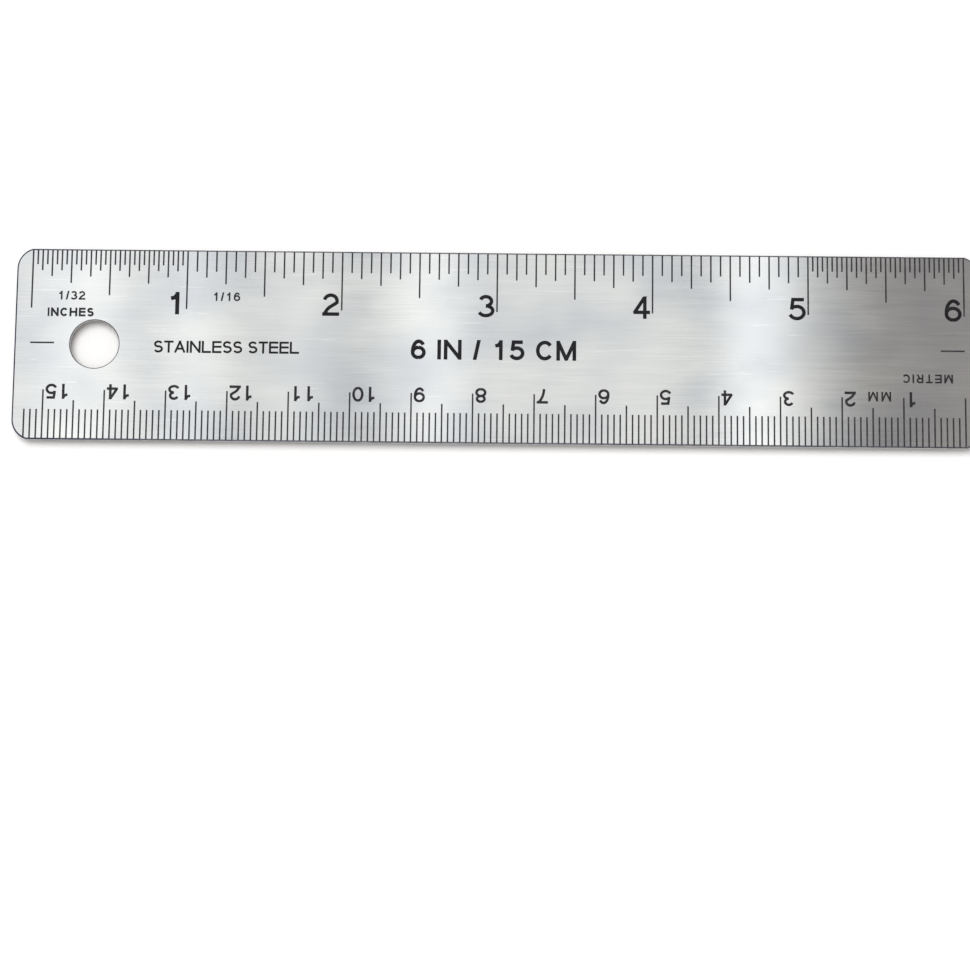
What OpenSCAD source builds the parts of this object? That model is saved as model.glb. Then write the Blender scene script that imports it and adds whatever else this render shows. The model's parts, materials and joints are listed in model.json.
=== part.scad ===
// Six-inch stainless steel ruler with a cork backing and printed inch and metric scales.
// +X runs along the ruler, +Y points to the inch edge and +Z out of the printed face.
// The origin is under the middle of the ruler, on the surface that the cork lies on.

/* [Blade] */
// Overall length of the steel blade
blade_length = 157.6; // [157:0.1:160]
// Width of the steel blade
blade_width = 31.75; // [30:0.05:34]
// Thickness of the steel sheet
blade_thickness = 0.8; // [0.5:0.05:1.5]
// Radius of the four corners
corner_radius = 3.45; // [3:0.05:4]
// Amount ground off each long edge after the corners were rounded
edge_grind = 0.15; // [0.05:0.05:0.3]
// Small bevel left by deburring every sharp edge
edge_break = 0.16; // [0.05:0.01:0.17]

/* [Hanging hole] */
// Diameter of the hole at the zero-inch end
hole_diameter = 7.94; // [7:0.02:8.4]
// Distance from that end to the middle of the hole
hole_from_end = 13.1; // [12.6:0.1:13.6]

/* [Cork backing] */
// Thickness of the cork sheet
cork_thickness = 1.1; // [0.8:0.1:2]
// Thickness of the adhesive film between the cork and the steel
film_thickness = 0.1; // [0.05:0.05:0.2]
// Steel left bare beside the cork along each long edge
cork_side_margin = 1.6; // [1:0.1:2.5]
// Steel left bare beyond the cork at each end
cork_end_margin = 1.75; // [1:0.05:3]
// Diameter of the hole punched in the cork and the film
cork_hole_diameter = 8.5; // [8.45:0.05:10]

/* [Graduations] */
// Thickness of the black enamel print
print_thickness = 0.03; // [0.02:0.01:0.06]
// Width of every graduation line
line_width = 0.26; // [0.15:0.01:0.35]
// Bare steel between the blade's edge and the outer end of a line
line_inset = 0.18; // [0.15:0.01:0.4]
// Distance from the blade's edge to the inner end of a whole-inch line
inch_reach = 9.9; // [9:0.1:10.4]
// The same for half-inch lines
half_reach = 7.7; // [7:0.1:8]
// The same for quarter-inch lines
quarter_reach = 5.7; // [5:0.1:6]
// The same for eighth-inch lines
eighth_reach = 4.6; // [4:0.1:4.9]
// The same for sixteenth-inch lines
sixteenth_reach = 3.6; // [3:0.1:3.9]
// The same for thirty-second-inch lines
thirty_second_reach = 2.6; // [2:0.1:2.9]
// The same for centimetre lines
cm_reach = 8.25; // [7.5:0.05:8.5]
// The same for five-millimetre lines
half_cm_reach = 6.5; // [6:0.1:7]
// The same for millimetre lines
mm_reach = 5; // [4:0.1:5.5]
// Number of millimetres marked on the metric edge
mm_count = 153; // [151:1:154]
// Length of the centre line at each end of the ruler
centre_line_length = 3.9; // [3:0.1:5]
// How far the centre lines stand off the middle of the width, towards the inch edge
centre_line_offset = 0.17; // [0:0.01:0.3]

/* [Numbers and legends] */
// Height of the inch numbers
inch_number_height = 3.75; // [3:0.05:4]
// Pen width of the inch numbers
inch_number_pen = 0.58; // [0.3:0.02:0.7]
// Pen width of the heavier first inch number
first_number_pen = 0.66; // [0.3:0.02:0.7]
// Distance from the inch edge to the foot of the inch numbers
inch_number_drop = 10.8; // [10.5:0.1:11.2]
// Height of the centimetre numbers
cm_number_height = 2.5; // [2:0.05:2.7]
// Pen width of the centimetre numbers
cm_number_pen = 0.42; // [0.2:0.02:0.5]
// Distance from the metric edge to the foot of the centimetre numbers
cm_number_drop = 9.2; // [9:0.1:9.6]
// Height of the unit legends
legend_height = 1.45; // [1.2:0.05:1.6]
// Pen width of the unit legends
legend_pen = 0.27; // [0.15:0.01:0.3]
// Pen width of the heavier inches legend
inches_pen = 0.33; // [0.15:0.01:0.36]
// Height of the millimetre legend
millimetre_height = 1.6; // [1.4:0.05:1.8]
// Height of the steel-grade legend
grade_height = 2; // [1.6:0.1:2.4]
// Pen width of the steel-grade legend
grade_pen = 0.34; // [0.2:0.01:0.4]
// Height of the size legend in the middle
size_height = 3.3; // [2.8:0.1:3.8]
// Pen width of the size legend in the middle
size_pen = 0.6; // [0.4:0.02:0.7]

/* [Hidden] */
inch = 25.4;
cm = 10;
inches = 6;
scale_length = inches * inch;
film_z = cork_thickness;
blade_z = film_z + film_thickness;
face_z = blade_z + blade_thickness;
hole_x = hole_from_end - blade_length / 2;
round_fn = 96;
beyond = 1;
number_gap = 0.27;
arc_step = 15;
// Letter spacings, as parts of the letters' height
cm_number_spacing = 0.12;
legend_spacing = 0.17;
metric_spacing = 0.27;
millimetre_spacing = 0.35;
grade_spacing = 0.09;
size_spacing = 0.13;
// Middle of each legend's baseline, measured from its scale's zero line and edge
thirty_seconds_at = [6.5, 8.5];
sixteenths_at = [31.9, 8.5];
inches_at = [6.45, 11.3];
metric_at = [6.1, 12.15];
millimetre_at = [13.9, 9.2];
grade_at = [32.1, 17.2];
size_at = [75.7, 17.9];
steel_colour = [0.86, 0.87, 0.88];
film_colour = [0.85, 0.8, 0.65];
cork_colour = [0.4, 0.25, 0.15];
print_colour = [0.08, 0.08, 0.09];

// ---------- Blade ----------

// A bar along X whose two long edges are bevelled on both faces
module bevelled_bar(length, width) {
    outer = width / 2;
    inner = outer - edge_break;
    top = blade_thickness;
    rotate([90, 0, 90])
        linear_extrude(length, center = true)
            polygon([
                [-inner, 0], [inner, 0], [outer, edge_break], [outer, top - edge_break],
                [inner, top], [-inner, top], [-outer, top - edge_break], [-outer, edge_break]
            ]);
}

// A disc bevelled on both faces
module bevelled_disc(radius) {
    inner = radius - edge_break;
    cylinder(h = edge_break, r1 = inner, r2 = radius, $fn = round_fn);
    translate([0, 0, edge_break])
        cylinder(h = blade_thickness - 2 * edge_break, r = radius, $fn = round_fn);
    translate([0, 0, blade_thickness - edge_break])
        cylinder(h = edge_break, r1 = radius, r2 = inner, $fn = round_fn);
}

// The sheet as it was blanked, before its long edges were ground
module rounded_blank() {
    width = blade_width + 2 * edge_grind;
    corner = [blade_length / 2 - corner_radius, width / 2 - corner_radius];
    bevelled_bar(2 * corner.x, width);
    rotate(90)
        bevelled_bar(2 * corner.y, blade_length);
    for (x = [-corner.x, corner.x], y = [-corner.y, corner.y])
        translate([x, y, 0])
            bevelled_disc(corner_radius);
}

// A through hole whose rims are bevelled like the outer edges
module deburred_hole() {
    radius = hole_diameter / 2;
    translate([0, 0, -beyond])
        cylinder(h = blade_thickness + 2 * beyond, r = radius, $fn = round_fn);
    for (flip = [0, 1])
        translate([0, 0, flip * blade_thickness])
            mirror([0, 0, flip])
                cylinder(h = edge_break, r1 = radius + edge_break, r2 = radius, $fn = round_fn);
}

module steel_blade() {
    color(steel_colour)
        translate([0, 0, blade_z])
            difference() {
                intersection() {
                    rounded_blank();
                    bevelled_bar(blade_length + 2 * beyond, blade_width);
                }
                translate([hole_x, 0, 0])
                    deburred_hole();
            }
}

// ---------- Backing ----------

// A rectangle of the backing's size with its punched hole
module backing_sheet(thickness) {
    linear_extrude(thickness)
        difference() {
            square([blade_length - 2 * cork_end_margin, blade_width - 2 * cork_side_margin], center = true);
            translate([hole_x, 0])
                circle(d = cork_hole_diameter, $fn = round_fn);
        }
}

module adhesive_film() {
    color(film_colour)
        translate([0, 0, film_z])
            backing_sheet(film_thickness);
}

module cork_backing() {
    color(cork_colour)
        backing_sheet(cork_thickness);
}

// ---------- Printing ----------

// Turns a flat drawing into a layer of enamel on the face
module printed() {
    color(print_colour)
        translate([0, 0, face_z])
            linear_extrude(print_thickness)
                children();
}

// Puts a drawing's origin on the inch scale's zero line, at the blade's inch edge
module on_inch_scale() {
    translate([-scale_length / 2, blade_width / 2])
        children();
}

// The metric scale reads the other way, from the opposite edge
module on_metric_scale() {
    rotate(180)
        on_inch_scale()
            children();
}

module lines(places, reach) {
    for (x = places)
        translate([x - line_width / 2, -reach])
            square([line_width, reach - line_inset]);
}

// The places that are odd multiples of 1/parts inch, between two whole inches
function odd_parts(parts, from, to) =
    [for (k = [from * parts + 1 : 2 : to * parts - 1]) k * inch / parts];

module inch_scale_lines(places, reach) {
    printed()
        on_inch_scale()
            lines(places, reach);
}

module metric_scale_lines(places, reach) {
    printed()
        on_metric_scale()
            lines(places, reach);
}

module inch_lines() {
    inch_scale_lines([for (k = [0 : inches]) k * inch], inch_reach);
}

module half_inch_lines() {
    inch_scale_lines(odd_parts(2, 0, inches), half_reach);
}

module quarter_inch_lines() {
    inch_scale_lines(odd_parts(4, 0, inches), quarter_reach);
}

module eighth_inch_lines() {
    inch_scale_lines(odd_parts(8, 0, inches), eighth_reach);
}

module sixteenth_inch_lines() {
    inch_scale_lines(odd_parts(16, 0, inches), sixteenth_reach);
}

// Only the first and the last inch are divided this finely
module thirty_second_inch_lines() {
    places = concat(odd_parts(32, 0, 1), odd_parts(32, inches - 1, inches));
    inch_scale_lines(places, thirty_second_reach);
}

module centimetre_lines() {
    metric_scale_lines([for (k = [0 : cm : mm_count]) k], cm_reach);
}

module five_millimetre_lines() {
    metric_scale_lines([for (k = [cm / 2 : cm : mm_count]) k], half_cm_reach);
}

module millimetre_lines() {
    metric_scale_lines([for (k = [1 : mm_count]) if (k % (cm / 2) != 0) k], mm_reach);
}

// One line near the middle of the width at each end, starting under the scale's end line
module end_centre_lines() {
    printed()
        for (side = [0, 1])
            mirror([side, 0])
                translate([-scale_length / 2, centre_line_offset - line_width / 2])
                    square([centre_line_length, line_width]);
}

// ---------- Lettering ----------
// A glyph is a list of pen strokes on a grid from [0, 0] to [1, 1], which spans the
// middle of the pen's path. A stroke that leaves the grid is trimmed to the letter's box.

function arc(centre, radii, from, to) =
    let (steps = ceil(abs(to - from) / arc_step))
    [for (i = [0 : steps])
        let (t = from + (to - from) * i / steps)
        [centre.x + radii.x * cos(t), centre.y + radii.y * sin(t)]];

// Two half turns that together close an oval
function oval(centre, radii) = [arc(centre, radii, 90, 270), arc(centre, radii, -90, 90)];

// A six, which is also a nine when it is turned round
function six() = concat(
    oval([0.5, 0.31], [0.5, 0.31]),
    [concat(arc([0.52, 0.6], [0.46, 0.4], 28, 90), arc([0.52, 0.38], [0.52, 0.62], 95, 185))]);

function turned(strokes) = [for (s = strokes) [for (p = s) [1 - p.x, 1 - p.y]]];

function strokes_of(c) =
    c == "0" ? oval([0.5, 0.5], [0.5, 0.5]) :
    c == "1" ? [[[0.62, -0.2], [0.62, 1.2]],
                [[0.12, 0.76], [0.4, 0.8], [0.62, 1]]] :
    c == "2" ? [concat(arc([0.49, 0.7], [0.47, 0.3], 170, -20),
                       arc([1.2, -0.2], [1.2, 0.75], 132, 170)),
                [[-0.3, 0], [1.3, 0]]] :
    c == "3" ? [arc([0.48, 0.755], [0.42, 0.245], 160, -90),
                arc([0.48, 0.255], [0.52, 0.255], 90, -160)] :
    c == "4" ? [[[0.74, -0.2], [0.74, 1.2]],
                [[0.84, 1.17], [-0.06, 0.2]],
                [[-0.1, 0.25], [1.3, 0.25]]] :
    c == "5" ? [[[0.2, 1], [1, 1]],
                [[0.22, 1.2], [0.08, 0.47]],
                arc([0.47, 0.32], [0.53, 0.32], 142, -160)] :
    c == "6" ? six() :
    c == "7" ? [[[-0.3, 1], [1.3, 1]],
                concat([[1.05, 1.05]], arc([1.5, -0.15], [1.2, 1.3], 122, 176))] :
    c == "8" ? concat(oval([0.5, 0.77], [0.43, 0.23]), oval([0.5, 0.27], [0.5, 0.27])) :
    c == "9" ? turned(six()) :
    c == "/" ? [[[-0.1, -0.2], [1.1, 1.2]]] :
    c == "A" ? [[[-0.1, -0.2], [0.6, 1.2]],
                [[1.1, -0.2], [0.4, 1.2]],
                [[0.2, 0.3], [0.8, 0.3]]] :
    c == "C" ? [arc([0.5, 0.5], [0.5, 0.5], 38, 322)] :
    c == "E" ? [[[0, -0.2], [0, 1.2]],
                for (y = [0, 0.53, 1]) [[0, y], [1.3, y]]] :
    c == "H" ? [[[0, -0.2], [0, 1.2]],
                [[1, -0.2], [1, 1.2]],
                [[0, 0.52], [1, 0.52]]] :
    c == "I" ? [[[0.5, -0.2], [0.5, 1.2]]] :
    c == "L" ? [[[0, -0.2], [0, 1.2]],
                [[0, 0], [1.3, 0]]] :
    c == "M" ? [[[0, -0.2], [0, 1.2]],
                [[1, -0.2], [1, 1.2]],
                [[-0.05, 1.15], [0.53, -0.1]],
                [[1.05, 1.15], [0.47, -0.1]]] :
    c == "N" ? [[[0, -0.2], [0, 1.2]],
                [[1, -0.2], [1, 1.2]],
                [[-0.08, 1.12], [1.08, -0.12]]] :
    c == "R" ? [[[0, -0.2], [0, 1.2]],
                concat([[0, 1], [0.6, 1]], arc([0.6, 0.74], [0.4, 0.26], 75, -75), [[0.6, 0.48], [0, 0.48]]),
                [[0.55, 0.48], [1.05, -0.2]]] :
    c == "S" ? [concat(arc([0.5, 0.755], [0.46, 0.245], 25, 255),
                       arc([0.5, 0.265], [0.5, 0.265], 75, -155))] :
    c == "T" ? [[[0.5, -0.2], [0.5, 1.2]],
                [[-0.3, 1], [1.3, 1]]] :
    [];

// Width of a letter for a height of one
function width_of(c) =
    search(c, "0123456789")[0] != undef ? 0.74 :
    c == "I" ? 0.2 :
    c == " " ? 0.3 :
    c == "/" ? 0.38 :
    c == "M" ? 0.98 :
    search(c, "ACHN")[0] != undef ? 0.88 :
    0.76;

function along(a, b) = (b - a) / norm(b - a);

function left_of(v) = [-v.y, v.x];

// Where the edge of a pen of half width one passes point i of a path
function mitre(path, i) =
    let (last = len(path) - 1)
    let (before = left_of(along(path[max(i - 1, 0)], path[max(i, 1)])))
    let (after = left_of(along(path[min(i, last - 1)], path[min(i + 1, last)])))
    let (sum = before + after)
    2 * sum / (sum * sum);

module pen_stroke(path, pen) {
    last = len(path) - 1;
    left = [for (i = [0 : last]) path[i] + mitre(path, i) * pen / 2];
    right = [for (i = [last : -1 : 0]) path[i] - mitre(path, i) * pen / 2];
    polygon(concat(left, right));
}

module letter(c, height, pen) {
    box = [width_of(c) * height, height];
    grid = box - [pen, pen];
    intersection() {
        square(box);
        union() {
            for (stroke = strokes_of(c))
                pen_stroke([for (p = stroke) [pen / 2 + p.x * grid.x, pen / 2 + p.y * grid.y]], pen);
        }
    }
}

// Width of the first n letters and the spaces after them, for a height of one
function width_before(letters, n, spacing) =
    n == 0 ? 0 : width_before(letters, n - 1, spacing) + width_of(letters[n - 1]) + spacing;

// Letters on a baseline at the origin: align is 0.5 to centre them there and 1 to end them there
module words(letters, height, pen, spacing, align) {
    whole = width_before(letters, len(letters), spacing) - spacing;
    for (i = [0 : len(letters) - 1])
        if (letters[i] != " ")
            translate([(width_before(letters, i, spacing) - whole * align) * height, 0])
                letter(letters[i], height, pen);
}

module inch_numbers() {
    printed()
        on_inch_scale()
            for (k = [1 : inches])
                translate([k * inch - line_width / 2 - number_gap, -inch_number_drop])
                    words(str(k), inch_number_height, k == 1 ? first_number_pen : inch_number_pen, 0, 1);
}

module centimetre_numbers() {
    printed()
        on_metric_scale()
            for (k = [1 : floor(mm_count / cm)])
                translate([k * cm - line_width / 2 - number_gap, -cm_number_drop])
                    words(str(k), cm_number_height, cm_number_pen, cm_number_spacing, 1);
}

module legend(letters, at, height = legend_height, pen = legend_pen, spacing = legend_spacing) {
    translate([at.x, -at.y])
        words(letters, height, pen, spacing, 0.5);
}

module thirty_seconds_legend() {
    printed()
        on_inch_scale()
            legend("1/32", thirty_seconds_at);
}

module sixteenths_legend() {
    printed()
        on_inch_scale()
            legend("1/16", sixteenths_at);
}

module inches_legend() {
    printed()
        on_inch_scale()
            legend("INCHES", inches_at, pen = inches_pen);
}

module metric_legend() {
    printed()
        on_metric_scale()
            legend("METRIC", metric_at, spacing = metric_spacing);
}

module millimetre_legend() {
    printed()
        on_metric_scale()
            legend("MM", millimetre_at, millimetre_height, spacing = millimetre_spacing);
}

module grade_legend() {
    printed()
        on_inch_scale()
            legend("STAINLESS STEEL", grade_at, grade_height, grade_pen, grade_spacing);
}

module size_legend() {
    printed()
        on_inch_scale()
            legend("6 IN / 15 CM", size_at, size_height, size_pen, size_spacing);
}

steel_blade();
adhesive_film();
cork_backing();
inch_lines();
half_inch_lines();
quarter_inch_lines();
eighth_inch_lines();
sixteenth_inch_lines();
thirty_second_inch_lines();
centimetre_lines();
five_millimetre_lines();
millimetre_lines();
end_centre_lines();
inch_numbers();
centimetre_numbers();
thirty_seconds_legend();
sixteenths_legend();
inches_legend();
metric_legend();
millimetre_legend();
grade_legend();
size_legend();
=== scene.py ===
"""Looks for the steel ruler: brushed steel, black print, granular cork and a plain studio."""
import json
import math

import bmesh
import bpy
from mathutils import Matrix, Vector, noise


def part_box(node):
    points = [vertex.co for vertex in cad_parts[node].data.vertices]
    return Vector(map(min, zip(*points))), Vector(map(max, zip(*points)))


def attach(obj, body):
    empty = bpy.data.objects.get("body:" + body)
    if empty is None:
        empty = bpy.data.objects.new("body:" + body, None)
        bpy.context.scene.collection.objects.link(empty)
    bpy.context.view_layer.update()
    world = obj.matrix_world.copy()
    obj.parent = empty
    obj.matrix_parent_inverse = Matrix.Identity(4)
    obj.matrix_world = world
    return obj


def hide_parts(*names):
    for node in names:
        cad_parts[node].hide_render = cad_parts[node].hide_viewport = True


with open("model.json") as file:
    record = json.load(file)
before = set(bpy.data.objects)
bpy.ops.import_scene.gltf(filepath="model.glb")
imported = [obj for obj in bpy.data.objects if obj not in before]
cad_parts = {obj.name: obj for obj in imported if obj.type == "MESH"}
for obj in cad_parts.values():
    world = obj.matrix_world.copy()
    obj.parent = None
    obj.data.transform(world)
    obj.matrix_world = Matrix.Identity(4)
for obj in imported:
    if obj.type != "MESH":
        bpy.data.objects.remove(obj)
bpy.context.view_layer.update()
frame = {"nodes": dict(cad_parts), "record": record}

MM = 0.001
BODY = "root"

# Camera: where it looks on the ruler's face, from how far and from which side
CAMERA_AIM_MM = (-1.62, -22.74)
CAMERA_DISTANCE_MM = 437.58
CAMERA_HEADING_DEG = 3.87
CAMERA_ELEVATION_DEG = 80.99
CAMERA_ROLL_DEG = -3.23
CAMERA_LENS_MM = 100.3
CAMERA_SENSOR_MM = 36.0

# Blade: the same outline as the CAD blade, with finer arcs and rounded edge breaks
CORNER_RADIUS_MM = 3.45
EDGE_GRIND_MM = 0.15
EDGE_BREAK_MM = 0.16
CORNER_STEPS = 20
HOLE_STEPS = 128
EDGE_BREAK_STEPS = 4
# How far the edge break's painted dark reflection runs onto the flat faces
DARK_RIM_MM = 0.09
# Depth of the sheet's gentle waves, which bend its reflections
SHEET_WAVE_MM = 0.03
# Where the edge breaks' painted dark reflection turns grey along the blade and round its hole, and how
# gradually
OUTER_GREY_FROM_MM = -74
HOLE_GREY_FROM_MM = -100
EDGE_FADE_MM = 25
# The blade's material slots after its faces' slot
WALL_SLOT = 1
OUTER_BREAK_SLOT = 2
HOLE_BREAK_SLOT = 3

# Print: each enamel's colour where it is thick and where it is thin
BOLD_INK = ((0.008, 0.008, 0.01), (0.02, 0.02, 0.024))
SMALL_INK = ((0.016, 0.015, 0.018), (0.045, 0.042, 0.046))
LINE_INK = ((0.025, 0.024, 0.028), (0.07, 0.066, 0.07))
BOLD_PRINT = ("inch_numbers", "grade_legend", "size_legend")

# Cork: granules pressed together, smaller at the cut edges
CORK_VOXEL_MM = 0.36
CORK_GRANULE_MM = 1.5
CORK_FINE_GRANULE_MM = 0.6
CORK_RAGGED_MM = 1.6
CORK_PIT_MM = 0.1
CORK_EDGE_CRUMBLE_MM = 0.18
CORK_BROWNS = (
    (0.2, (0.056, 0.024, 0.009)),
    (0.42, (0.082, 0.036, 0.0135)),
    (0.58, (0.104, 0.047, 0.018)),
    (0.8, (0.145, 0.07, 0.03)),
)
CORK_PALE_FLECK = (0.26, 0.15, 0.075)
CORK_DARK_FLECK = (0.035, 0.014, 0.012)

# Studio. The blade mirrors the softbox's underside, so its lamps show as bright bands on the blade.
SOFTBOX_HEIGHT_MM = 600
SOFTBOX_X_MM = (-420, 136)
SOFTBOX_Y_MM = (-420, 620)
SOFTBOX_LEVEL = 0.9
SOFTBOX_UNEVENNESS = 0.06
SOFTBOX_TINT = (0.985, 1.0, 0.995, 1.0)
# The softbox dims to a share of its level over a strip at its right end
SOFTBOX_FADE_MM = 30
SOFTBOX_END_SHARE = 0.4
# Each band: its middle along X, its half width (both mm) and how much brighter or darker it is
SOFTBOX_BANDS = (
    (-168, 28, 0.45),
    (-140, 10, -0.16),
    (-124, 15, 0.46),
    (-104, 12, -0.2),
    (-80, 14, 0.12),
    (-59, 14, -0.26),
    (-29, 20, 0.45),
    (-11, 9, -0.15),
    (76, 14, -0.26),
    (97, 17, 0.74),
)
# The room's brightness up to where the walls end, and from where the ceiling begins
WALL_LEVEL = 0.95
WALL_TOP = 0.15
CEILING_LEVEL = 0.345
CEILING_START = 0.75
ROOM_TINT = (1.0, 0.96, 0.93, 1.0)
KEY_DIRECTION = (-0.2, 0.3, 1.1)
KEY_SPREAD_DEG = 40
KEY_STRENGTH = 1.9
FLOOR_REACH_MM = 6000


# ---------- Node helpers ----------

def new_material(name):
    """A node material, with its node tree and its shader."""
    material = bpy.data.materials.new(name)
    material.use_nodes = True
    return material, material.node_tree, material.node_tree.nodes["Principled BSDF"]


def feed(tree, socket, value):
    """Gives an input socket a value, a colour, or another node's output to follow."""
    if isinstance(value, bpy.types.NodeSocket):
        tree.links.new(value, socket)
    elif socket.type == "RGBA" and len(value) == 3:
        socket.default_value = (*value, 1.0)
    else:
        socket.default_value = value


def add_node(tree, kind, **inputs):
    """A node of the given kind, with its named inputs fed. Names use _ for spaces."""
    node = tree.nodes.new("ShaderNode" + kind)
    for name, value in inputs.items():
        feed(tree, node.inputs[name.replace("_", " ")], value)
    return node


def math_node(tree, operation, a, b=0.0):
    """The output of one arithmetic step on two values or sockets."""
    node = tree.nodes.new("ShaderNodeMath")
    node.operation = operation
    feed(tree, node.inputs[0], a)
    feed(tree, node.inputs[1], b)
    return node.outputs[0]


def weighted_sum(tree, *terms):
    """The sum of (value, weight) pairs."""
    products = [math_node(tree, "MULTIPLY", value, weight) for value, weight in terms]
    total = products[0]
    for product in products[1:]:
        total = math_node(tree, "ADD", total, product)
    return total


def remap(tree, value, low, high, to_low, to_high):
    """A value carried linearly from one range to another, and held at the ends."""
    ranges = {"From_Min": low, "From_Max": high, "To_Min": to_low, "To_Max": to_high}
    return add_node(tree, "MapRange", Value=value, **ranges).outputs[0]


def fraction(tree, value, low, high):
    """How far a value is from low to high, from 0 to 1, and held beyond them."""
    return remap(tree, value, low, high, 0.0, 1.0)


def mix_colour(tree, factor, a, b):
    """A blend of two colours, each a socket or an (r, g, b): a at factor 0 and b at factor 1."""
    node = tree.nodes.new("ShaderNodeMix")
    node.data_type = "RGBA"
    for index, value in ((0, factor), (6, a), (7, b)):
        feed(tree, node.inputs[index], value)
    return node.outputs[2]


def colour_ramp(tree, value, stops):
    """A colour picked along a list of (position, colour) stops."""
    node = tree.nodes.new("ShaderNodeValToRGB")
    elements = node.color_ramp.elements
    while len(elements) < len(stops):
        elements.new(0.5)
    for element, (position, colour) in zip(elements, stops):
        element.position = position
        element.color = (*colour, 1.0)
    tree.links.new(value, node.inputs[0])
    return node.outputs[0]


def object_position(tree, scale=(1.0, 1.0, 1.0), turn_deg=0.0):
    """The surface's own place in metres, stretched by scale and turned about Z."""
    place = tree.nodes.new("ShaderNodeTexCoord").outputs["Object"]
    turn = (0, 0, math.radians(turn_deg))
    return add_node(tree, "Mapping", Vector=place, Scale=scale, Rotation=turn).outputs[0]


def position_along_x(tree):
    """The X of the surface's own place, in metres."""
    return add_node(tree, "SeparateXYZ", Vector=object_position(tree)).outputs[0]


def noise_value(tree, position, scale, detail=2.0, roughness=0.5):
    """Smooth noise from 0 to 1, with scale in cells per metre."""
    inputs = {"Scale": scale, "Detail": detail, "Roughness": roughness}
    return add_node(tree, "TexNoise", Vector=position, **inputs).outputs["Fac"]


def streak_noise(tree, squeeze, scale, detail=2.0, roughness=0.5, turn_deg=0.0):
    """Noise squeezed across the blade so that it runs in streaks along it."""
    position = object_position(tree, (1.0, squeeze, 1.0), turn_deg)
    return noise_value(tree, position, scale, detail, roughness)


def set_bump(tree, shader, height, strength, depth_mm, under=None):
    """Feeds the shader's normal from a height, on top of another bump's normal if one is given."""
    bump = add_node(tree, "Bump", Strength=strength, Distance=depth_mm * MM, Height=height)
    if under is not None:
        tree.links.new(under, bump.inputs["Normal"])
    tree.links.new(bump.outputs[0], shader.inputs["Normal"])


# ---------- Steel ----------

def steel_colour(tree, streaks):
    """Steel that is bluer and darker in some clouds, partly random tone and partly painted reflection,
    dark between streaks and pale in scratches.
    """
    clouds = streak_noise(tree, 1.4, 55.0)
    stray = streak_noise(tree, 22.0, 75.0, 4.0, 0.7, 4.0)
    # The clouds are partly random tone and partly painted reflection: blotches that stand in for the
    # uneven reflections of polished steel
    cloudy = fraction(tree, clouds, 0.35, 0.65)
    plain = mix_colour(tree, cloudy, (0.70, 0.715, 0.745), (0.88, 0.88, 0.865))
    streaked = mix_colour(tree, 0.2, plain, (0.35, 0.35, 0.36))
    colour = mix_colour(tree, fraction(tree, streaks, 0.3, 0.7), streaked, plain)
    scratch = remap(tree, stray, 0.62, 0.7, 0.0, 0.42)
    return mix_colour(tree, scratch, colour, (0.97, 0.97, 0.97))


def brushed_steel():
    """Stainless steel brushed along X: fine streaks, faint clouds, smudges and stray scratches."""
    material, tree, shader = new_material("brushed_steel")
    shader.inputs["Metallic"].default_value = 1.0
    shader.inputs["Anisotropic"].default_value = 1.0
    # Highlights stretch along the tangent, so brushing along X has its tangent along Y
    tangent = add_node(tree, "CombineXYZ", Y=1.0)
    tree.links.new(tangent.outputs[0], shader.inputs["Tangent"])
    fine = streak_noise(tree, 45.0, 120.0, 3.0, 0.6)
    broad = streak_noise(tree, 14.0, 60.0)
    streaks = weighted_sum(tree, (fine, 0.6), (broad, 0.4))
    tree.links.new(steel_colour(tree, streaks), shader.inputs["Base Color"])
    smudges = streak_noise(tree, 1.0, 90.0, 4.0, 0.65, 25.0)
    brushing_roughness = remap(tree, streaks, 0.3, 0.7, 0.14, 0.2)
    smudge_roughness = remap(tree, smudges, 0.5, 0.8, 0.0, 0.06)
    rough = math_node(tree, "ADD", brushing_roughness, smudge_roughness)
    tree.links.new(rough, shader.inputs["Roughness"])
    waves = streak_noise(tree, 0.8, 45.0, 1.0, turn_deg=12.0)
    wavy = add_node(tree, "Bump", Strength=1.0, Distance=SHEET_WAVE_MM * MM, Height=waves)
    set_bump(tree, shader, fine, 0.12, 0.02, under=wavy.outputs[0])
    return material


def ground_steel():
    """The blade's sheared and ground walls: duller, with marks across the thickness."""
    material, tree, shader = new_material("ground_steel_edge")
    shader.inputs["Metallic"].default_value = 1.0
    marks = noise_value(tree, object_position(tree, (1.0, 1.0, 0.15)), 2500.0, 3.0, 0.6)
    marked = fraction(tree, marks, 0.35, 0.65)
    colour = mix_colour(tree, marked, (0.48, 0.49, 0.50), (0.72, 0.73, 0.74))
    tree.links.new(colour, shader.inputs["Base Color"])
    tree.links.new(remap(tree, marks, 0.3, 0.7, 0.28, 0.45), shader.inputs["Roughness"])
    set_bump(tree, shader, marks, 0.25, 0.02)
    return material


def broken_edge(name, grey_from_mm):
    """The rounded edge breaks with a painted dark reflection: nearly black up to a place along X, then
    grey.
    """
    material, tree, shader = new_material(name)
    shader.inputs["Metallic"].default_value = 1.0
    shader.inputs["Roughness"].default_value = 0.3
    patches = noise_value(tree, object_position(tree), 400.0, 3.0, 0.6)
    patchy_share = fraction(tree, patches, 0.35, 0.65)
    # Painted dark reflection: near-black tones to the left and grey beyond stand in for dark surroundings
    # mirrored in the edges
    black = mix_colour(tree, patchy_share, (0.035, 0.045, 0.085), (0.085, 0.09, 0.13))
    grey = mix_colour(tree, patchy_share, (0.13, 0.135, 0.165), (0.22, 0.225, 0.25))
    grey_to_mm = grey_from_mm + EDGE_FADE_MM
    greyness = fraction(tree, position_along_x(tree), grey_from_mm * MM, grey_to_mm * MM)
    tree.links.new(mix_colour(tree, greyness, black, grey), shader.inputs["Base Color"])
    return material


# ---------- Print and adhesive ----------

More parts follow.
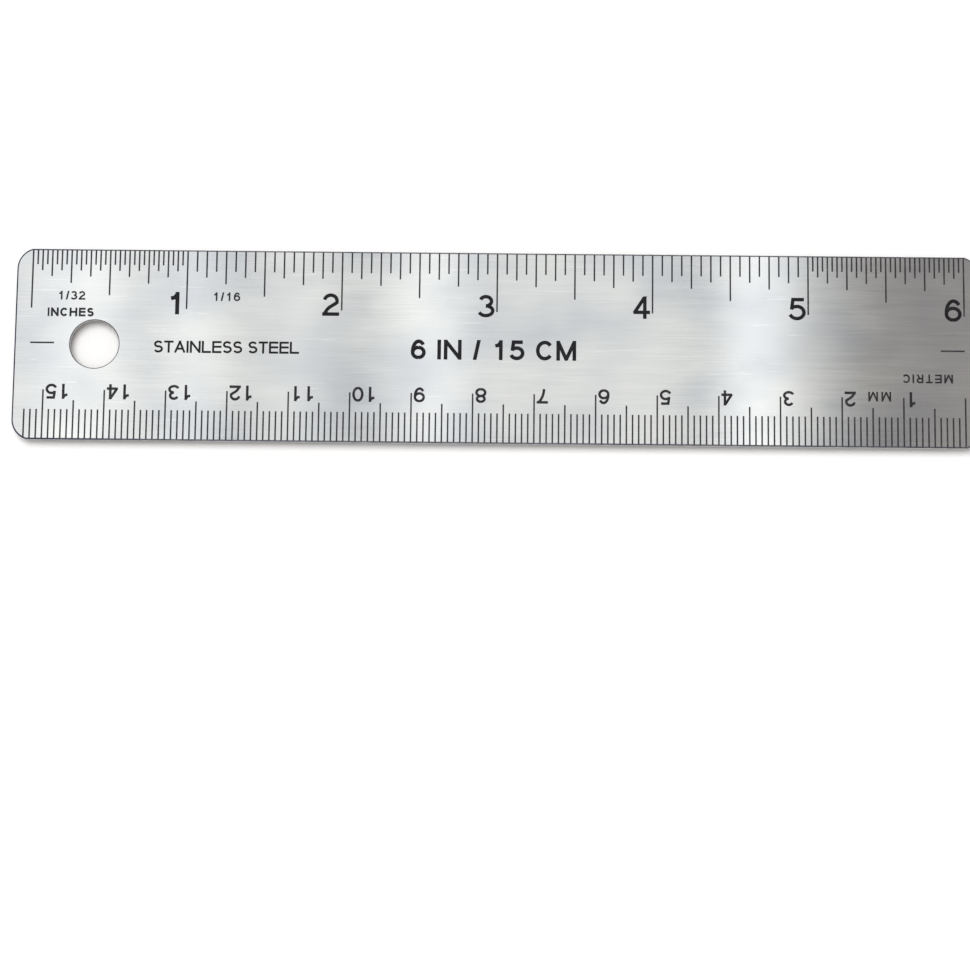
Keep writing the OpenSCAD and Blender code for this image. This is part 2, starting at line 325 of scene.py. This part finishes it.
def enamel(name, ink):
    """Printed enamel: satin and slightly uneven. Its ink is a colour and the colour where it is thin."""
    material, tree, shader = new_material(name)
    shader.inputs["Specular IOR Level"].default_value = 0.2
    patches = noise_value(tree, object_position(tree), 900.0, 3.0, 0.6)
    colour = mix_colour(tree, fraction(tree, patches, 0.45, 0.75), *ink)
    tree.links.new(colour, shader.inputs["Base Color"])
    tree.links.new(remap(tree, patches, 0.3, 0.7, 0.4, 0.6), shader.inputs["Roughness"])
    set_bump(tree, shader, patches, 0.2, 0.01)
    return material


def adhesive():
    """The bonding film's cut edge: a yellowish plastic with dust in it."""
    material, tree, shader = new_material("adhesive_film")
    shader.inputs["Roughness"].default_value = 0.4
    dust = noise_value(tree, object_position(tree), 1500.0, 3.0, 0.6)
    dusty = fraction(tree, dust, 0.4, 0.7)
    colour = mix_colour(tree, dusty, (0.48, 0.4, 0.26), (0.25, 0.17, 0.1))
    tree.links.new(colour, shader.inputs["Base Color"])
    return material


def give_material(node_name, material):
    """Gives a CAD node one material in place of its plain one."""
    materials = frame["nodes"][node_name].data.materials
    materials.clear()
    materials.append(material)


def finish_print():
    """Enamel on every printed node: the fine lines are greyer than the small and the bold print."""
    bold = enamel("bold_enamel", BOLD_INK)
    small = enamel("small_enamel", SMALL_INK)
    line = enamel("line_enamel", LINE_INK)
    for part in frame["record"]["subparts"]:
        node_name = part["node"]
        if part["material_slot"] != "print":
            continue
        if node_name in BOLD_PRINT:
            give_material(node_name, bold)
        elif node_name.endswith("_lines"):
            give_material(node_name, line)
        else:
            give_material(node_name, small)


# ---------- Cork's material ----------

def wandering_position(tree, place, scale, reach):
    """A place shifted by up to about half of reach, so that straight borders become ragged."""
    inputs = {"Scale": scale, "Detail": 4.0, "Roughness": 0.65}
    wander = add_node(tree, "TexNoise", Vector=place, **inputs)
    shift = add_node(tree, "VectorMath", Vector=wander.outputs["Color"])
    shift.operation = "SCALE"
    shift.inputs["Scale"].default_value = reach
    moved = tree.nodes.new("ShaderNodeVectorMath")
    tree.links.new(place, moved.inputs[0])
    tree.links.new(shift.outputs[0], moved.inputs[1])
    return moved.outputs[0]


def granules(tree, position, size_mm):
    """Two random values for each granule of about the given size."""
    cells = add_node(tree, "TexVoronoi", Vector=position, Scale=1 / (size_mm * MM))
    split = add_node(tree, "SeparateColor", Color=cells.outputs["Color"])
    return split.outputs[0], split.outputs[1]


def cork():
    """Dark agglomerated cork: ragged granules in several browns, with some pale and dark flecks."""
    material, tree, shader = new_material("agglomerated_cork")
    shader.inputs["Roughness"].default_value = 0.85
    shader.inputs["Specular IOR Level"].default_value = 0.12
    place = object_position(tree)
    ragged = wandering_position(tree, place, 900.0, CORK_RAGGED_MM * MM)
    broad, _ = granules(tree, ragged, CORK_GRANULE_MM)
    fine, fleck = granules(tree, ragged, CORK_FINE_GRANULE_MM)
    grain = noise_value(tree, place, 3000.0, 4.0, 0.7)
    tone = weighted_sum(tree, (broad, 0.3), (fine, 0.3), (grain, 0.4))
    colour = colour_ramp(tree, tone, CORK_BROWNS)
    pale = remap(tree, fleck, 0.98, 0.985, 0.0, 0.4)
    colour = mix_colour(tree, pale, colour, CORK_PALE_FLECK)
    dark = remap(tree, fleck, 0.02, 0.03, 0.65, 0.0)
    colour = mix_colour(tree, dark, colour, CORK_DARK_FLECK)
    tree.links.new(colour, shader.inputs["Base Color"])
    set_bump(tree, shader, weighted_sum(tree, (fine, 0.5), (grain, 1.0)), 0.5, 0.08)
    return material


# ---------- Meshes ----------

def finish_piece(name, bm, materials, node):
    """Makes a piece from a mesh under construction, in place of its CAD node."""
    mesh = bpy.data.meshes.new(name)
    bm.to_mesh(mesh)
    bm.free()
    piece = bpy.data.objects.new(name, mesh)
    bpy.context.scene.collection.objects.link(piece)
    for material in materials:
        mesh.materials.append(material)
    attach(piece, BODY)
    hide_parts(node)


def corner_points(centre, radius, last_angle, sign_x, sign_y):
    """One corner arc from the end edge to the long edge, in the quarter given by the two signs."""
    points = []
    for k in range(CORNER_STEPS + 1):
        angle = last_angle * k / CORNER_STEPS
        x = centre[0] + radius * math.cos(angle)
        y = centre[1] + radius * math.sin(angle)
        points.append((sign_x * x, sign_y * y))
    return points


def blade_outline(half_length, half_width, inset):
    """The blade's outline drawn in by inset. The arcs meet the ground long edges at a slight angle."""
    radius = CORNER_RADIUS_MM * MM
    centre = (half_length - radius, half_width + EDGE_GRIND_MM * MM - radius)
    radius -= inset
    last_angle = math.asin((half_width - inset - centre[1]) / radius)
    outline = []
    for sign_x, sign_y in ((1, 1), (-1, 1), (-1, -1), (1, -1)):
        arc = corner_points(centre, radius, last_angle, sign_x, sign_y)
        # Arcs in a mirrored quarter run backwards, so they are turned round to go anticlockwise
        outline += arc if sign_x == sign_y else arc[::-1]
    return outline


def circle_points(centre, radius, steps):
    """Points round a circle, clockwise, as the wall of a hole needs."""
    points = []
    for k in range(steps):
        angle = 2 * math.pi * k / steps
        points.append((centre[0] + radius * math.cos(angle), centre[1] + radius * math.sin(angle)))
    return points[::-1]


def edge_profile(low, high):
    """(inset, height) pairs up a rounded edge, from the lower face to the upper face."""
    bevel = EDGE_BREAK_MM * MM
    lower, upper = [], []
    for k in range(EDGE_BREAK_STEPS + 1):
        angle = math.pi / 2 * k / EDGE_BREAK_STEPS
        out = bevel * (1 - math.sin(angle))
        back = bevel * (1 - math.cos(angle))
        lower.append((out, low + back))
        upper.append((back, high - out))
    return lower + upper


def add_wall(bm, rings, wall_step, break_slot):
    """Joins a stack of closed rings with quads, and returns the lowest and highest ring's edges."""
    layers = [[bm.verts.new(point) for point in ring] for ring in rings]
    count = len(layers[0])
    for step, (below, above) in enumerate(zip(layers, layers[1:])):
        for k in range(count):
            n = (k + 1) % count
            face = bm.faces.new((below[k], below[n], above[n], above[k]))
            face.material_index = WALL_SLOT if step == wall_step else break_slot
            face.smooth = True
    rims = []
    for layer in (layers[0], layers[-1]):
        rims.append([bm.edges.get((layer[k], layer[(k + 1) % count])) for k in range(count)])
    return rims


def make_blade(materials):
    """The steel blade: two flat faces, and walls with rounded edges round its outline and hole."""
    low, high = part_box("steel_blade")
    hole = next(m for m in frame["record"]["mounts"] if m["name"] == "hang_hole")
    hole_radius = hole["dims"]["r_mm"] * MM
    profile = edge_profile(low.z, high.z)
    rim_inset = (EDGE_BREAK_MM + DARK_RIM_MM) * MM
    outer = []
    for inset, z in [(rim_inset, low.z), *profile, (rim_inset, high.z)]:
        outer.append([(x, y, z) for x, y in blade_outline(high.x, high.y, inset)])
    inner = []
    for inset, z in profile:
        points = circle_points(hole["pos_m"], hole_radius + inset, HOLE_STEPS)
        inner.append([(x, y, z) for x, y in points])
    bm = bmesh.new()
    # The straight wall lies between the two edge breaks, one step higher where there is a dark rim
    outer_rims = add_wall(bm, outer, EDGE_BREAK_STEPS + 1, OUTER_BREAK_SLOT)
    inner_rims = add_wall(bm, inner, EDGE_BREAK_STEPS, HOLE_BREAK_SLOT)
    for outer_rim, inner_rim in zip(outer_rims, inner_rims):
        bmesh.ops.triangle_fill(bm, edges=outer_rim + inner_rim, use_beauty=True)
    bmesh.ops.recalc_face_normals(bm, faces=bm.faces)
    finish_piece("blade", bm, materials, "steel_blade")


def remeshed_copy(source, voxel):
    """A copy of an object's mesh made of even cells, so that its surface can be roughened."""
    helper = bpy.data.objects.new("cork_helper", source.data.copy())
    bpy.context.scene.collection.objects.link(helper)
    modifier = helper.modifiers.new("even_cells", "REMESH")
    modifier.mode = "VOXEL"
    modifier.voxel_size = voxel
    evaluated = helper.evaluated_get(bpy.context.evaluated_depsgraph_get())
    mesh = bpy.data.meshes.new_from_object(evaluated)
    bpy.data.objects.remove(helper)
    return mesh


def granule_depth(place, size):
    """How deep the surface lies, from 0 to 1: deepest in the seams, and different in each granule."""
    distances, centres = noise.voronoi(place / size)
    seam = max(0.0, 1.0 - (distances[1] - distances[0]) * 3.0)
    return 0.6 * seam + 0.4 * noise.cell(centres[0] * 7.3)


def make_cork(material):
    """The cork sheet: pressed granules and a crumbled cut edge, all inside the CAD sheet's box."""
    low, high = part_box("cork_backing")
    mesh = remeshed_copy(frame["nodes"]["cork_backing"], CORK_VOXEL_MM * MM)
    normals = [vertex.normal.copy() for vertex in mesh.vertices]
    for vertex, normal in zip(mesh.vertices, normals):
        sideways = math.hypot(normal.x, normal.y)
        pit = granule_depth(vertex.co, CORK_GRANULE_MM * MM)
        crumble = sideways * granule_depth(vertex.co, CORK_FINE_GRANULE_MM * MM)
        depth_mm = CORK_PIT_MM * pit + CORK_EDGE_CRUMBLE_MM * crumble
        moved = vertex.co - normal * depth_mm * MM
        vertex.co = Vector(min(max(v, a), b) for v, a, b in zip(moved, low, high))
    bm = bmesh.new()
    bm.from_mesh(mesh)
    bpy.data.meshes.remove(mesh)
    for face in bm.faces:
        face.smooth = True
    finish_piece("cork_sheet", bm, [material], "cork_backing")


# ---------- Studio ----------

def add_plane(name, x_range, y_range, z, material, facing_down=False):
    """A flat rectangle that isn't part of the object."""
    (x0, x1), (y0, y1) = x_range, y_range
    corners = [(x0, y0, z), (x1, y0, z), (x1, y1, z), (x0, y1, z)]
    mesh = bpy.data.meshes.new(name)
    mesh.from_pydata(corners, [], [(3, 2, 1, 0) if facing_down else (0, 1, 2, 3)])
    mesh.materials.append(material)
    plane = bpy.data.objects.new(name, mesh)
    bpy.context.scene.collection.objects.link(plane)
    return plane


def make_floor():
    """A wide, plain, nearly white floor."""
    material, tree, shader = new_material("pale_floor")
    shader.inputs["Roughness"].default_value = 0.9
    shader.inputs["Specular IOR Level"].default_value = 0.1
    tone = noise_value(tree, object_position(tree), 40.0)
    colour = mix_colour(tree, tone, (0.93, 0.93, 0.925), (0.95, 0.95, 0.95))
    tree.links.new(colour, shader.inputs["Base Color"])
    reach = FLOOR_REACH_MM * MM
    add_plane("floor", (-reach, reach), (-reach, reach), 0.0, material)


def softbox_material():
    """A diffuser lit unevenly from behind: broad soft bands across it, and dimmer at its right end."""
    material = bpy.data.materials.new("softbox_diffuser")
    material.use_nodes = True
    tree = material.node_tree
    tree.nodes.clear()
    along = position_along_x(tree)
    uneven = noise_value(tree, object_position(tree), 14.0)
    lowest = (1 - SOFTBOX_UNEVENNESS) * SOFTBOX_LEVEL
    highest = (1 + SOFTBOX_UNEVENNESS) * SOFTBOX_LEVEL
    level = remap(tree, uneven, 0.3, 0.7, lowest, highest)
    for middle, half_width, gain in SOFTBOX_BANDS:
        away = math_node(tree, "ABSOLUTE", math_node(tree, "SUBTRACT", along, middle * MM))
        band = remap(tree, away, 0.0, half_width * MM, gain, 0.0)
        level = math_node(tree, "ADD", level, band)
    end = SOFTBOX_X_MM[1] * MM
    fade = remap(tree, along, end - SOFTBOX_FADE_MM * MM, end, 1.0, SOFTBOX_END_SHARE)
    level = math_node(tree, "MULTIPLY", level, fade)
    emission = add_node(tree, "Emission", Color=SOFTBOX_TINT, Strength=level)
    add_node(tree, "OutputMaterial", Surface=emission.outputs[0])
    return material


def make_softbox():
    """The overhead softbox that the blade mirrors. Past its right end the blade mirrors the ceiling."""
    x_range = [v * MM for v in SOFTBOX_X_MM]
    y_range = [v * MM for v in SOFTBOX_Y_MM]
    height = SOFTBOX_HEIGHT_MM * MM
    box = add_plane("softbox", x_range, y_range, height, softbox_material(), facing_down=True)
    box.visible_camera = False
    box.visible_shadow = False


def make_key_light():
    """A very wide, even light from above, a little to the left and behind. The blade doesn't mirror it."""
    data = bpy.data.lights.new("key", "SUN")
    data.angle = math.radians(KEY_SPREAD_DEG)
    data.energy = KEY_STRENGTH
    light = bpy.data.objects.new("key", data)
    bpy.context.scene.collection.objects.link(light)
    light.rotation_euler = (-Vector(KEY_DIRECTION)).to_track_quat("-Z", "Y").to_euler()
    light.visible_glossy = False


def make_world():
    """A room with pale walls and a darker ceiling, all slightly warm."""
    world = bpy.data.worlds.new("room")
    world.use_nodes = True
    tree = world.node_tree
    direction = tree.nodes.new("ShaderNodeTexCoord").outputs["Generated"]
    upward = add_node(tree, "SeparateXYZ", Vector=direction).outputs[2]
    level = remap(tree, upward, WALL_TOP, CEILING_START, WALL_LEVEL, CEILING_LEVEL)
    feed(tree, tree.nodes["Background"].inputs["Color"], ROOM_TINT)
    feed(tree, tree.nodes["Background"].inputs["Strength"], level)
    bpy.context.scene.world = world


def make_camera(face_height):
    """The camera at the photograph's viewing angle, aimed at a point on the ruler's face."""
    heading = math.radians(CAMERA_HEADING_DEG)
    elevation = math.radians(CAMERA_ELEVATION_DEG)
    level = math.cos(elevation)
    back = Vector((math.sin(heading) * level, -math.cos(heading) * level, math.sin(elevation)))
    aim = Vector((CAMERA_AIM_MM[0] * MM, CAMERA_AIM_MM[1] * MM, face_height))
    data = bpy.data.cameras.new("camera")
    data.lens = CAMERA_LENS_MM
    data.sensor_width = CAMERA_SENSOR_MM
    data.clip_start = 0.01
    data.clip_end = 50.0
    camera = bpy.data.objects.new("camera", data)
    bpy.context.scene.collection.objects.link(camera)
    facing = (-back).to_track_quat("-Z", "Y").to_matrix()
    roll = Matrix.Rotation(math.radians(CAMERA_ROLL_DEG), 3, "Z")
    place = Matrix.Translation(aim + back * CAMERA_DISTANCE_MM * MM)
    camera.matrix_world = place @ (facing @ roll).to_4x4()
    bpy.context.scene.camera = camera


# ---------- The scene ----------

make_camera(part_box("steel_blade")[1].z)
make_blade([
    brushed_steel(),
    ground_steel(),
    broken_edge("outer_edge_break", OUTER_GREY_FROM_MM),
    broken_edge("hole_edge_break", HOLE_GREY_FROM_MM),
])
make_cork(cork())
finish_print()
give_material("adhesive_film", adhesive())

make_floor()
make_softbox()
make_world()
make_key_light()
bpy.context.scene.view_settings.view_transform = "Standard"
